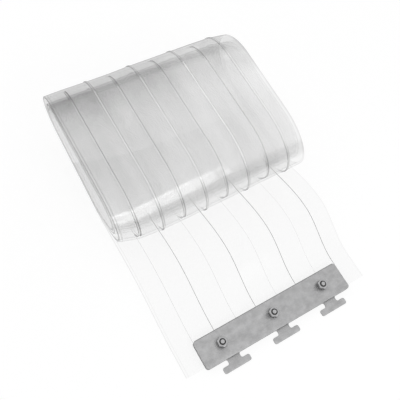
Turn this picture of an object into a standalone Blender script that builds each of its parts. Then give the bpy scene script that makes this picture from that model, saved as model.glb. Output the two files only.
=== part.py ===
"""A clear PVC curtain strip, rolled up for delivery, with its steel hanger clamped on one end.

The strip is one ribbed sheet. Its outer end lies forward of the roll between a hook plate below and
a cover plate above, held by three studs and nuts. X runs across the strip, the hooks point to -Y,
the roll lies at +Y and the floor is at Z = 0. All lengths are in metres.
"""

import math

import bmesh
import bpy
import numpy as np
from mathutils import Vector

# The strip and its ribs
STRIP_LENGTH = 2.0
STRIP_WIDTH = 0.300
STRIP_THICKNESS = 0.003
RIB_COUNT = 8
RIB_EDGE_MARGIN = 0.0288
RIB_HEIGHT = 0.0012
RIB_FOOT_WIDTH = 0.0042
RIB_CREST_WIDTH = 0.0018
RIB_PRESSED_HEIGHT = 0.0004
RIB_RECOVERY_LENGTH = 0.005

# The roll, measured over the ribs of its outer turn
ROLL_LENGTH = 0.2540
ROLL_HEIGHT = 0.1104
FRONT_FOLD_DEPTH = 0.0707
BACK_FOLD_DEPTH = 0.0547
FLOOR_TURN_GAP = 0.0008
TOP_TURN_GAP = 0.0050
BACK_TURN_GAP = 0.0070
FRONT_TURN_GAP = 0.0050
LEAST_BORE = 0.020
FOLD_STEPS = 13

# The free stretch between the plates and the roll
TAIL_RUN = 0.1458
HUMP_HEIGHT = 0.030
HUMP_FOOT_SETBACK = 0.003
HUMP_CREST_SHARE = 0.604
HUMP_STEPS = 14

# The stretch that bends when the hanger is lifted
FLEX_SETBACK = 0.008
FLEX_LENGTH = 0.045
FLEX_STEPS = 8
FLEX_AXIS_LIFT = 0.004

# The hanger plates
PLATE_LENGTH = 0.241
PLATE_DEPTH = 0.042
PLATE_THICKNESS = 0.002
PLATE_CORNER_RADIUS = 0.0045
STRIP_END_SETBACK = 0.005
CORNER_STEPS = 5

# The hooks
HOOK_COUNT = 3
HOOK_PITCH = 0.082
HOOK_ROW_SHIFT = 0.0025
HOOK_WIDTH = 0.0425
HOOK_BAR_DEPTH = 0.009
HOOK_SLOT_DEPTH = 0.0073
HOOK_NECK_WIDTH = 0.0193
HOOK_CORNER_RADIUS = 0.0028
NECK_FILLET_RADIUS = 0.0025

# The studs and nuts
STUD_PITCH = 0.085
STUD_SETBACK = 0.0223
STUD_DIAMETER = 0.008
STUD_CHAMFER = 0.0007
STUD_PROUD = 0.0012
STUD_HEAD_DIAMETER = 0.011
STUD_HEAD_THICKNESS = 0.0012
NUT_WIDTH = 0.013
NUT_HEIGHT = 0.0065
NUT_BORE_CHAMFER = 0.0008
NUT_CORNER_DROP = 0.0006
NUT_TURNS_DEGREES = (-4.0, 3.0, -7.0)
ROUND_STEPS = 32

# Clearances
FACE_GAP = 0.0003
HOLE_CLEARANCE = 0.0005
STRIP_HOLE_CLEARANCE = 0.001
CUTTER_OVERRUN = 0.002

# Places worked out from the sizes above. Y starts at the plates' hook-side edge.
RIB_PITCH = (STRIP_WIDTH - 2 * RIB_EDGE_MARGIN) / (RIB_COUNT - 1)
SKIN_DEPTH = RIB_HEIGHT + STRIP_THICKNESS / 2
LAYER_DEPTH = STRIP_THICKNESS + RIB_HEIGHT
FLOOR_CENTRE_Z = SKIN_DEPTH
CLAMP_CENTRE_Z = PLATE_THICKNESS + FACE_GAP + RIB_PRESSED_HEIGHT + STRIP_THICKNESS / 2
COVER_BASE_Z = CLAMP_CENTRE_Z + STRIP_THICKNESS / 2 + RIB_PRESSED_HEIGHT + FACE_GAP
NUT_BASE_Z = COVER_BASE_Z + PLATE_THICKNESS + FACE_GAP
HUMP_FOOT_Y = PLATE_DEPTH + HUMP_FOOT_SETBACK
ROLL_FRONT_Y = PLATE_DEPTH + TAIL_RUN
ROLL_BACK_Y = ROLL_FRONT_Y + ROLL_LENGTH
HUMP_CREST_Y = HUMP_FOOT_Y + HUMP_CREST_SHARE * (ROLL_FRONT_Y - HUMP_FOOT_Y)
FRONT_FOLD_Y = ROLL_FRONT_Y + FRONT_FOLD_DEPTH
BACK_FOLD_Y = ROLL_BACK_Y - BACK_FOLD_DEPTH
FLEX_START_Y = PLATE_DEPTH + FLEX_SETBACK
FLEX_END_Y = FLEX_START_Y + FLEX_LENGTH
HOOK_TIP_Y = -HOOK_SLOT_DEPTH - HOOK_BAR_DEPTH
CENTRE_Y = (HOOK_TIP_Y + ROLL_BACK_Y) / 2
SIDES = ("left", "middle", "right")


def clear_scene():
    """Remove the objects that the file opened with."""
    for item in list(bpy.context.scene.objects):
        bpy.data.objects.remove(item, do_unlink=True)


def make_collection(name, hidden=False):
    collection = bpy.data.collections.new(name)
    bpy.context.scene.collection.children.link(collection)
    collection.hide_render = hidden
    return collection


def make_material(name, colour, roughness, metallic, alpha=1.0):
    """A plain surface: colour, roughness and metallic value of one finish."""
    material = bpy.data.materials.new(name)
    material.use_nodes = True
    shader = material.node_tree.nodes["Principled BSDF"]
    shader.inputs["Base Color"].default_value = (*colour, 1.0)
    shader.inputs["Roughness"].default_value = roughness
    shader.inputs["Metallic"].default_value = metallic
    shader.inputs["Alpha"].default_value = alpha
    material.diffuse_color = (*colour, alpha)
    return material


def mesh_object(name, shape, collection, material=None):
    """An object from a bmesh, with its faces turned outwards."""
    bmesh.ops.recalc_face_normals(shape, faces=shape.faces)
    mesh = bpy.data.meshes.new(name)
    shape.to_mesh(mesh)
    shape.free()
    item = bpy.data.objects.new(name, mesh)
    collection.objects.link(item)
    if material:
        mesh.materials.append(material)
    return item


def shade_round(item, sharp_angle=math.radians(35)):
    item.data.shade_smooth()
    item.data.set_sharp_from_angle(angle=sharp_angle)


def place(item, parent, y, x=0.0, z=0.0):
    """Set a piece at its place, given from the plates' edge, under its parent empty."""
    item.parent = parent
    item.location = Vector((x, y - CENTRE_Y, z)) - parent.location


def make_empty(name, collection, y, z):
    empty = bpy.data.objects.new(name, None)
    collection.objects.link(empty)
    empty.location = (0.0, y - CENTRE_Y, z)
    return empty


# The strip's path, seen from its edge


def tail_height(y):
    """Height of the strip's middle along the free stretch: two half waves that meet at the crest."""
    crest_z = FLOOR_CENTRE_Z + HUMP_HEIGHT
    if y <= HUMP_FOOT_Y:
        return CLAMP_CENTRE_Z
    if y <= HUMP_CREST_Y:
        phase = math.pi * (y - HUMP_FOOT_Y) / (HUMP_CREST_Y - HUMP_FOOT_Y)
        return CLAMP_CENTRE_Z + (crest_z - CLAMP_CENTRE_Z) * (1 - math.cos(phase)) / 2
    if y <= FRONT_FOLD_Y:
        phase = math.pi * (y - HUMP_CREST_Y) / (FRONT_FOLD_Y - HUMP_CREST_Y)
        return FLOOR_CENTRE_Z + HUMP_HEIGHT * (1 + math.cos(phase)) / 2
    return FLOOR_CENTRE_Z


def tail_points(start_y, end_y, steps):
    """Points along the free stretch, evenly spaced across the floor."""
    return [(y, tail_height(y)) for y in np.linspace(start_y, end_y, steps + 1)]


def fold_points(centre_y, depth, first_z, last_z):
    """A half ellipse from (centre_y, first_z) to (centre_y, last_z). Depth is negative at the front."""
    middle_z = (first_z + last_z) / 2
    half_rise = (last_z - first_z) / 2
    points = []
    for step in range(FOLD_STEPS + 1):
        angle = math.pi * step / FOLD_STEPS
        points.append((centre_y + depth * math.sin(angle), middle_z - half_rise * math.cos(angle)))
    return points


def roll_points():
    """The turns of the roll, from the floor inwards, as far as the strip's length may need."""
    points = []
    top_z = ROLL_HEIGHT - SKIN_DEPTH
    floor_z = FLOOR_CENTRE_Z
    back_depth = BACK_FOLD_DEPTH - SKIN_DEPTH
    front_depth = FRONT_FOLD_DEPTH - SKIN_DEPTH
    while top_z - floor_z > LEAST_BORE and back_depth > LAYER_DEPTH:
        next_floor_z = floor_z + LAYER_DEPTH + FLOOR_TURN_GAP
        points += fold_points(BACK_FOLD_Y, back_depth, floor_z, top_z)
        points += fold_points(FRONT_FOLD_Y, -front_depth, top_z, next_floor_z)
        floor_z = next_floor_z
        top_z -= LAYER_DEPTH + TOP_TURN_GAP
        back_depth -= LAYER_DEPTH + BACK_TURN_GAP
        front_depth -= LAYER_DEPTH + FRONT_TURN_GAP
    points.append((BACK_FOLD_Y, floor_z))
    return points


def cut_to_length(points, length):
    """The path from its first point, ended where its length is used up."""
    kept = [points[0]]
    left = length
    for point in points[1:]:
        step = math.dist(kept[-1], point)
        if step >= left:
            share = left / step
            kept.append(tuple(a + share * (b - a) for a, b in zip(kept[-1], point)))
            return kept
        kept.append(point)
        left -= step
    raise ValueError("the roll has no room for a strip of this length")


def path_length(points):
    return sum(math.dist(a, b) for a, b in zip(points, points[1:]))


def least_turn_gap(points):
    """The smallest clear gap between turns of the strip, measured from its points to its path."""
    path = np.array(points)
    runs = path[1:] - path[:-1]
    run_lengths = np.linalg.norm(runs, axis=1)
    along = np.concatenate(([0.0], np.cumsum(run_lengths)))
    least = math.inf
    for index, point in enumerate(path):
        share = np.einsum("ij,ij->i", point - path[:-1], runs) / run_lengths**2
        nearest = path[:-1] + np.clip(share, 0, 1)[:, None] * runs
        distance = np.linalg.norm(point - nearest, axis=1)
        apart = np.minimum(abs(along[:-1] - along[index]), abs(along[1:] - along[index])) > FRONT_FOLD_DEPTH
        if apart.any():
            least = min(least, float(distance[apart].min()))
    return least - LAYER_DEPTH


# The strip's section and its sweep


def strip_section(rib_height):
    """The outline across the strip as (x, height) points. Odd ribs stand on top, even ribs below."""
    upper, lower = [], []
    for index in range(RIB_COUNT):
        centre = -STRIP_WIDTH / 2 + RIB_EDGE_MARGIN + index * RIB_PITCH
        face, side = (upper, 1) if index % 2 == 0 else (lower, -1)
        foot = side * STRIP_THICKNESS / 2
        crest = foot + side * rib_height
        face += [
            (centre - RIB_FOOT_WIDTH / 2, foot),
            (centre - RIB_CREST_WIDTH / 2, crest),
            (centre + RIB_CREST_WIDTH / 2, crest),
            (centre + RIB_FOOT_WIDTH / 2, foot),
        ]
    edge, half = STRIP_WIDTH / 2, STRIP_THICKNESS / 2
    upper_face = [(-edge, half), *upper, (edge, half)]
    lower_face = [(-edge, -half), *lower, (edge, -half)]
    return upper_face + lower_face[::-1]


def sweep_strip(name, points, rib_heights, before, after, collection, material):
    """Loft the section along a stretch of the path.

    The points before and after the stretch only set the direction of its two end faces.
    """
    line = [before or points[0], *points, after or points[-1]]
    shape = bmesh.new()
    rings = []
    for index, ((y, z), rib_height) in enumerate(zip(points, rib_heights), start=1):
        forward = Vector(line[index + 1]) - Vector(line[index - 1])
        forward.normalize()
        up_y, up_z = -forward.y, forward.x
        section = strip_section(rib_height)
        rings.append([shape.verts.new((x, y + up_y * height, z + up_z * height)) for x, height in section])
    for ring, following in zip(rings, rings[1:]):
        for index in range(len(ring)):
            previous = index - 1
            shape.faces.new((ring[previous], ring[index], following[index], following[previous]))
    shape.faces.new(rings[0])
    shape.faces.new(rings[-1])
    item = mesh_object(name, shape, collection, material)
    shade_round(item)
    return item


def split_gap(point, neighbour):
    """A point moved half a face gap from its place towards its neighbour."""
    share = FACE_GAP / 2 / math.dist(point, neighbour)
    return tuple(a + share * (b - a) for a, b in zip(point, neighbour))


def build_strip(collection, material, roll_frame, hanger_axis):
    """The strip as its clamped end, the stretch that flexes, and the free stretch with the roll."""
    clamp = [
        (STRIP_END_SETBACK, CLAMP_CENTRE_Z),
        (PLATE_DEPTH + FACE_GAP, CLAMP_CENTRE_Z),
        *tail_points(PLATE_DEPTH + RIB_RECOVERY_LENGTH, FLEX_START_Y, 1),
    ]
    clamp_ribs = [RIB_PRESSED_HEIGHT, RIB_PRESSED_HEIGHT, RIB_HEIGHT, RIB_HEIGHT]
    flex = tail_points(FLEX_START_Y, FLEX_END_Y, FLEX_STEPS)
    free = tail_points(FLEX_END_Y, FRONT_FOLD_Y, HUMP_STEPS) + roll_points()
    whole = cut_to_length(clamp + flex[1:] + free[1:], STRIP_LENGTH)
    free = whole[len(clamp) + len(flex) - 2 :]
    print(f"least gap between turns: {least_turn_gap(whole):.5f} m")
    print(f"length of the strip's path: {path_length(whole):.4f} m")

    clamp_end = clamp[:-1] + [split_gap(clamp[-1], clamp[-2])]
    flex_body = [split_gap(flex[0], flex[1]), *flex[1:-1], split_gap(flex[-1], flex[-2])]
    free_body = [split_gap(free[0], free[1]), *free[1:]]
    full = [RIB_HEIGHT] * len(whole)
    pieces = (
        ("strip_clamped_end", clamp_end, clamp_ribs, None, flex[1], hanger_axis),
        ("strip_flex_zone", flex_body, full, clamp[-2], free[1], roll_frame),
        ("strip_roll", free_body, full, flex[-2], None, roll_frame),
    )
    made = {}
    for name, points, ribs, before, after, parent in pieces:
        made[name] = sweep_strip(name, points, ribs[: len(points)], before, after, collection, material)
        place(made[name], parent, y=0.0)
    return made


# The hanger's plates


def arc(centre_x, centre_y, radius, first_degrees, last_degrees):
    """Points on an arc, both ends included."""
    angles = np.radians(np.linspace(first_degrees, last_degrees, CORNER_STEPS + 1))
    return [(centre_x + radius * math.cos(a), centre_y + radius * math.sin(a)) for a in angles]


def hook_points(centre_x):
    """The outline of one hook, from the neck's left foot round the bar to its right foot."""
    neck, half = HOOK_NECK_WIDTH / 2, HOOK_WIDTH / 2
    corner, fillet = HOOK_CORNER_RADIUS, NECK_FILLET_RADIUS
    bar_top = -HOOK_SLOT_DEPTH
    left = arc(-neck - fillet, -fillet, fillet, 90, 0)
    left += arc(-neck - fillet, bar_top + fillet, fillet, 0, -90)
    left += arc(-half + corner, bar_top - corner, corner, 90, 180)
    left += arc(-half + corner, HOOK_TIP_Y + corner, corner, 180, 270)
    right = [(-x, y) for x, y in reversed(left)]
    return [(centre_x + x, y) for x, y in left + right]


def plate_points(with_hooks):
    """The outline of a plate, anticlockwise from its left end's lower corner."""
    half, corner = PLATE_LENGTH / 2, PLATE_CORNER_RADIUS
    points = arc(-half + corner, corner, corner, 180, 270)
    if with_hooks:
        for index in range(HOOK_COUNT):
            points += hook_points(HOOK_ROW_SHIFT + (index - (HOOK_COUNT - 1) / 2) * HOOK_PITCH)
    points += arc(half - corner, corner, corner, 270, 360)
    points += arc(half - corner, PLATE_DEPTH - corner, corner, 0, 90)
    points += arc(-half + corner, PLATE_DEPTH - corner, corner, 90, 180)
    return points


def extruded_outline(name, points, thickness, collection, material):
    """A flat outline raised to a thickness from Z = 0."""
    shape = bmesh.new()
    base = shape.faces.new([shape.verts.new((x, y, 0.0)) for x, y in points])
    raised = bmesh.ops.extrude_face_region(shape, geom=[base])["geom"]
    corners = [item for item in raised if isinstance(item, bmesh.types.BMVert)]
    bmesh.ops.translate(shape, verts=corners, vec=(0.0, 0.0, thickness))
    return mesh_object(name, shape, collection, material)


def turned(name, profile, collection, material=None):
    """A turned solid from (radius, height) points that start and end on the Z axis, bottom to top."""
    mesh = bpy.data.meshes.new(name)
    outer = profile[::-1]
    edges = [(index, index + 1) for index in range(len(outer) - 1)]
    mesh.from_pydata([(radius, 0.0, height) for radius, height in outer], edges, [])
    item = bpy.data.objects.new(name, mesh)
    collection.objects.link(item)
    screw = item.modifiers.new("turn", "SCREW")
    screw.steps = ROUND_STEPS
    screw.render_steps = ROUND_STEPS
    screw.use_merge_vertices = True
    screw.merge_threshold = 0.00001
    screw.use_smooth_shade = False
    if material:
        mesh.materials.append(material)
    return item


def subtract(item, cutter):
    """Cut one shape from another and keep the cutter as a guide."""
    boolean = item.modifiers.new("cut " + cutter.name, "BOOLEAN")
    boolean.operation = "DIFFERENCE"
    boolean.object = cutter
    cutter.hide_render = True
    cutter.display_type = "WIRE"


def stud_places():
    """The three stud centres as (name, x) pairs."""
    middle = (len(SIDES) - 1) / 2
    return [(side, (index - middle) * STUD_PITCH) for index, side in enumerate(SIDES)]


def round_hole(name, radius, low_z, high_z, cutters, parent, x):
    """A cutter for a through hole between two heights."""
    profile = [(0.0, low_z), (radius, low_z), (radius, high_z), (0.0, high_z)]
    cutter = turned(name, profile, cutters)
    place(cutter, parent, y=STUD_SETBACK, x=x)
    return cutter


def build_plates(collection, cutters, material, clamped_end, hanger_axis):
    """The hook plate, the cover plate, and the holes through both and through the strip."""
    hook_plate = extruded_outline("hook_plate", plate_points(True), PLATE_THICKNESS, collection, material)
    cover_plate = extruded_outline("cover_plate", plate_points(False), PLATE_THICKNESS, collection, material)
    place(hook_plate, hanger_axis, y=0.0)
    place(cover_plate, hanger_axis, y=0.0, z=COVER_BASE_Z)
    shank_hole = STUD_DIAMETER / 2 + HOLE_CLEARANCE
    strip_hole = STUD_DIAMETER / 2 + STRIP_HOLE_CLEARANCE
    head_hole = STUD_HEAD_DIAMETER / 2 + FACE_GAP
    head_top = STUD_HEAD_THICKNESS + FACE_GAP
    plate_top = PLATE_THICKNESS + CUTTER_OVERRUN
    for side, x in stud_places():
        stepped = [
            (0.0, -CUTTER_OVERRUN),
            (head_hole, -CUTTER_OVERRUN),
            (head_hole, head_top),
            (shank_hole, head_top),
            (shank_hole, plate_top),
            (0.0, plate_top),
        ]
        pocket = turned(f"stud_pocket_{side}", stepped, cutters)
        place(pocket, hanger_axis, y=STUD_SETBACK, x=x)
        subtract(hook_plate, pocket)
        cover_top = COVER_BASE_Z + PLATE_THICKNESS + CUTTER_OVERRUN
        cover_low = COVER_BASE_Z - CUTTER_OVERRUN
        cover_hole = round_hole(f"cover_hole_{side}", shank_hole, cover_low, cover_top, cutters, hanger_axis, x)
        subtract(cover_plate, cover_hole)
        punch = round_hole(f"strip_hole_{side}", strip_hole, 0.0, cover_top, cutters, hanger_axis, x)
        subtract(clamped_end, punch)
    return hook_plate, cover_plate


# The studs and nuts


def build_stud(side, x, collection, material, parent):
    """A press-in stud: a flat head flush with the hook plate, and a shank with a chamfered end."""
    radius = STUD_DIAMETER / 2
    top = NUT_BASE_Z + NUT_HEIGHT + STUD_PROUD
    profile = [
        (0.0, 0.0),
        (STUD_HEAD_DIAMETER / 2, 0.0),
        (STUD_HEAD_DIAMETER / 2, STUD_HEAD_THICKNESS),
        (radius, STUD_HEAD_THICKNESS),
        (radius, top - STUD_CHAMFER),
        (radius - STUD_CHAMFER, top),
        (0.0, top),
    ]
    stud = turned(f"stud_{side}", profile, collection, material)
    place(stud, parent, y=STUD_SETBACK, x=x)
    return stud


def build_nut(side, x, turn_degrees, collection, cutters, material, parent):
    """A hexagon nut: its corners are turned off at both ends and its bore has a chamfer at each mouth."""
    corner_radius = NUT_WIDTH / math.sqrt(3)
    flat_radius = NUT_WIDTH / 2
    shape = bmesh.new()
    bmesh.ops.create_cone(
        shape, cap_ends=True, segments=6, radius1=corner_radius, radius2=corner_radius, depth=NUT_HEIGHT
    )
    bmesh.ops.translate(shape, verts=shape.verts, vec=(0.0, 0.0, NUT_HEIGHT / 2))
    nut = mesh_object(f"nut_{side}", shape, collection, material)
    place(nut, parent, y=STUD_SETBACK, x=x, z=NUT_BASE_Z)
    nut.rotation_euler.z = math.radians(turn_degrees)

    rim = flat_radius - NUT_CORNER_DROP / 2
    widest = corner_radius + CUTTER_OVERRUN
    drop = NUT_CORNER_DROP * (widest - rim) / (corner_radius - rim)
    crown_profile = [
        (0.0, 0.0),
        (rim, 0.0),
        (widest, drop),
        (widest, NUT_HEIGHT - drop),
        (rim, NUT_HEIGHT),
        (0.0, NUT_HEIGHT),
    ]
    crown = turned(f"nut_crown_{side}", crown_profile, cutters)
    place(crown, parent, y=STUD_SETBACK, x=x, z=NUT_BASE_Z)
    crown.hide_render = True
    crown.display_type = "WIRE"
    shaping = nut.modifiers.new("turned corners", "BOOLEAN")
    shaping.operation = "INTERSECT"
    shaping.object = crown

    bore = STUD_DIAMETER / 2 + FACE_GAP
    mouth = bore + NUT_BORE_CHAMFER
    past = CUTTER_OVERRUN
    bore_profile = [
        (0.0, -past),
        (mouth + past, -past),
        (bore, NUT_BORE_CHAMFER),
        (bore, NUT_HEIGHT - NUT_BORE_CHAMFER),
        (mouth + past, NUT_HEIGHT + past),
        (0.0, NUT_HEIGHT + past),
    ]
    bore_cutter = turned(f"nut_bore_{side}", bore_profile, cutters)
    place(bore_cutter, parent, y=STUD_SETBACK, x=x, z=NUT_BASE_Z)
    subtract(nut, bore_cutter)
    return nut


def main():
    clear_scene()
    collection = make_collection("pvc_strip_curtain")
    cutters = make_collection("cutters", hidden=True)
    clear_pvc = make_material("clear_pvc", (0.86, 0.88, 0.88), 0.12, 0.0, alpha=0.35)
    satin_steel = make_material("satin_steel", (0.62, 0.62, 0.63), 0.38, 1.0)
    zinc_steel = make_material("zinc_steel", (0.50, 0.50, 0.51), 0.30, 1.0)
    nut_steel = make_material("nut_steel", (0.60, 0.60, 0.61), 0.28, 1.0)

    roll_frame = make_empty("roll_frame", collection, y=CENTRE_Y, z=0.0)
    axis_y = (FLEX_START_Y + FLEX_END_Y) / 2
    axis_z = tail_height(axis_y) + FLEX_AXIS_LIFT
    hanger_axis = make_empty("hanger_axis", collection, y=axis_y, z=axis_z)

    strip = build_strip(collection, clear_pvc, roll_frame, hanger_axis)
    build_plates(collection, cutters, satin_steel, strip["strip_clamped_end"], hanger_axis)
    for (side, x), turn_degrees in zip(stud_places(), NUT_TURNS_DEGREES):
        build_stud(side, x, collection, zinc_steel, hanger_axis)
        build_nut(side, x, turn_degrees, collection, cutters, nut_steel, hanger_axis)
    print(f"hinge axis of the hanger: y {axis_y - CENTRE_Y:.5f} m, z {axis_z:.5f} m")


main()
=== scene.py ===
import logging
import math
from dataclasses import dataclass, replace
from enum import Enum
from typing import Callable, Optional, Union

import bmesh
import bpy
import numpy as np
from bpy.types import Material, Node, NodeSocket, Object, World
from mathutils import Matrix, Vector


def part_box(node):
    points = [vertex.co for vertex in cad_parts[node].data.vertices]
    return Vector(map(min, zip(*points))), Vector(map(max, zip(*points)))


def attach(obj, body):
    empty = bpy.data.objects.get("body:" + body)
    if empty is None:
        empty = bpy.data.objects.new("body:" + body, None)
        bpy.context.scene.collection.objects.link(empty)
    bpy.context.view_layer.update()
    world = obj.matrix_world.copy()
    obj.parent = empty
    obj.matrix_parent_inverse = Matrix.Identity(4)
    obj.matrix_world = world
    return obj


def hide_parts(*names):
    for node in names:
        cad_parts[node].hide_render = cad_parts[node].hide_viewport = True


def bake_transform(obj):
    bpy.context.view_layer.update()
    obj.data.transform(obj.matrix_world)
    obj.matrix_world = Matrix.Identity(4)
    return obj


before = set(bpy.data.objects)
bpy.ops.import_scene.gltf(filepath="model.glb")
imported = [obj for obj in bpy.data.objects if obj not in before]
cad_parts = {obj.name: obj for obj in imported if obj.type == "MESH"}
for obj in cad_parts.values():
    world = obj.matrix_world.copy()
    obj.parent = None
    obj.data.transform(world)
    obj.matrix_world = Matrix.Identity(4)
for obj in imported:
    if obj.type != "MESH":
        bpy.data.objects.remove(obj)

LOG = logging.getLogger("curtain_strip")
MM = 0.001
EDGE_TOUCH = 0.05 * MM  # places nearer than this count as one
FACING = 0.9  # least share of a face's normal along the axis that it faces
PARALLEL = 0.99  # least share of an edge's direction along the axis that it follows
FLAT = 0.95  # least upright share of the normal of a flat top or underside
BEVEL_SEGMENTS = 2
ROUND_SIDES = 48
SMOOTH_DEGREES = 35.0
NOISE_MIDDLE = 0.5
WHITE = (1.0, 1.0, 1.0, 1.0)
Point = tuple[float, float, float]
Pair = tuple[float, float]
PlaceTest = Callable[[Vector, Vector], bool]


# Shader arithmetic


@dataclass(frozen=True)
class Level:
    """A number that varies over a surface: a node's output that takes part in plain arithmetic."""

    canvas: "Canvas"
    socket: NodeSocket

    def __add__(self, other: "Number") -> "Level":
        """Self plus other."""
        return self.canvas.maths("ADD", self, other)

    def __sub__(self, other: "Number") -> "Level":
        """Self less other."""
        return self.canvas.maths("SUBTRACT", self, other)

    def __mul__(self, other: "Number") -> "Level":
        """Self times other."""
        return self.canvas.maths("MULTIPLY", self, other)

    def __pow__(self, other: "Number") -> "Level":
        """Self to the power of other."""
        return self.canvas.maths("POWER", self, other)

    def clamped(self) -> "Level":
        """Self, held between 0 and 1."""
        return self.canvas.maths("ADD", self, 0.0, clamp=True)

    __radd__ = __add__
    __rmul__ = __mul__


Number = Union[float, Level]
Colour = Union[tuple[float, ...], NodeSocket]


class Canvas:
    """The node tree of one material or world, with one method that makes every kind of node."""

    def __init__(self, owner: Union[Material, World]) -> None:
        """Empty the owner's node tree.

        Args:
            owner: The material or world to build.
        """
        owner.use_nodes = True
        self.tree = owner.node_tree
        self.tree.nodes.clear()

    def node(self, kind: str, inputs: Optional[dict] = None, **settings: object) -> Node:
        """Make a node.

        Args:
            kind: The node's type, without the word ShaderNode.
            inputs: Values, levels or sockets by input name or number.
            settings: The node's own properties, set before its sockets.

        Returns:
            The new node.
        """
        made = self.tree.nodes.new("ShaderNode" + kind)
        for name, value in settings.items():
            setattr(made, name, value)
        for name, value in (inputs or {}).items():
            source = value.socket if isinstance(value, Level) else value
            if isinstance(source, NodeSocket):
                self.tree.links.new(source, made.inputs[name])
            else:
                made.inputs[name].default_value = source
        return made

    def level(self, node: Node, output: Union[int, str] = 0) -> Level:
        """One output of a node as a level."""
        return Level(self, node.outputs[output])

    def mark(self, name: str) -> Level:
        """A mark that the mesh's faces bear."""
        return self.level(self.node("Attribute", attribute_name=name), "Fac")

    def maths(self, operation: str, first: Number, second: Number, clamp: bool = False) -> Level:
        """A Math node's result on two numbers, held between 0 and 1 where clamp is set."""
        return self.level(self.node("Math", {0: first, 1: second}, operation=operation, use_clamp=clamp))

    def mixed_colour(self, share: Number, first: Colour, second: Colour) -> NodeSocket:
        """A colour between two, by share. Each is three numbers or a colour socket."""
        ends = [end if isinstance(end, NodeSocket) else (*end, 1.0) for end in (first, second)]
        return self.node("Mix", {0: share, 6: ends[0], 7: ends[1]}, data_type="RGBA").outputs[2]

    def noise(self, scale: Point, detail: float = 2.0, roughness: float = 0.5, shift: float = 0.0) -> Level:
        """Soft noise on Object coordinates.

        Args:
            scale: Cells per metre along each axis.
            detail: Octaves of finer noise.
            roughness: Share of each finer octave.
            shift: Offset along all three axes, in cells.

        Returns:
            A level around one half.
        """
        place = self.node("TexCoord").outputs["Object"]
        mapped = self.node("Mapping", {"Vector": place, "Scale": scale, "Location": (shift, shift, shift)})
        inputs = {"Vector": mapped.outputs[0], "Scale": 1.0, "Detail": detail, "Roughness": roughness}
        return self.level(self.node("TexNoise", inputs), "Fac")

    def ramp(self, level: Level, ends: Pair, kind: str = "SMOOTHSTEP") -> Level:
        """A level turned to a rise from 0 at the first end to 1 at the last, smooth or LINEAR."""
        inputs = {"Value": level, "From Min": ends[0], "From Max": ends[1], "To Min": 0.0, "To Max": 1.0}
        return self.level(self.node("MapRange", inputs, interpolation_type=kind))

    def rise(self, axis: int, ends: Pair) -> Level:
        """A smooth rise along one axis of the object, from 0 at the first end to 1 at the last."""
        place = self.node("SeparateXYZ", {0: self.node("TexCoord").outputs["Object"]})
        return self.ramp(self.level(place, axis), ends)

    def film(self, share: float) -> Node:
        """A see-through shader that lets a share of light through."""
        return self.node("BsdfTransparent", {"Color": grey(share)})

    def metal(self, colour: Colour, roughness: Number, relief: Level, height: float) -> Node:
        """A metal surface of a colour, as four numbers or a socket, with a fine relief of a height."""
        normal = self.node("Bump", {"Strength": 1.0, "Distance": height, "Height": relief}).outputs[0]
        inputs = {"Base Color": colour, "Metallic": 1.0, "Roughness": roughness, "Normal": normal}
        return self.node("BsdfPrincipled", inputs)

    def finish_with(self, shader: Node, kind: str = "OutputMaterial") -> None:
        """Link a shader to the tree's output."""
        self.node(kind, {"Surface": shader.outputs[0]})

    def shader_mix(self, share: Number, first: Node, second: Node) -> Node:
        """A Mix Shader between two shader nodes, by share."""
        return self.node("MixShader", {0: share, 1: first.outputs[0], 2: second.outputs[0]})

    def background_rays(self) -> Level:
        """One for rays that show the plain background: camera, mirror and see-through rays."""
        path = self.node("LightPath")
        seen = self.level(path, "Is Camera Ray") + self.level(path, "Is Glossy Ray")
        return (seen + self.level(path, "Is Transmission Ray")).clamped()


def grey(level: float) -> tuple[float, float, float, float]:
    """An even colour of a brightness."""
    return (level, level, level, 1.0)


# Finishes


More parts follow.
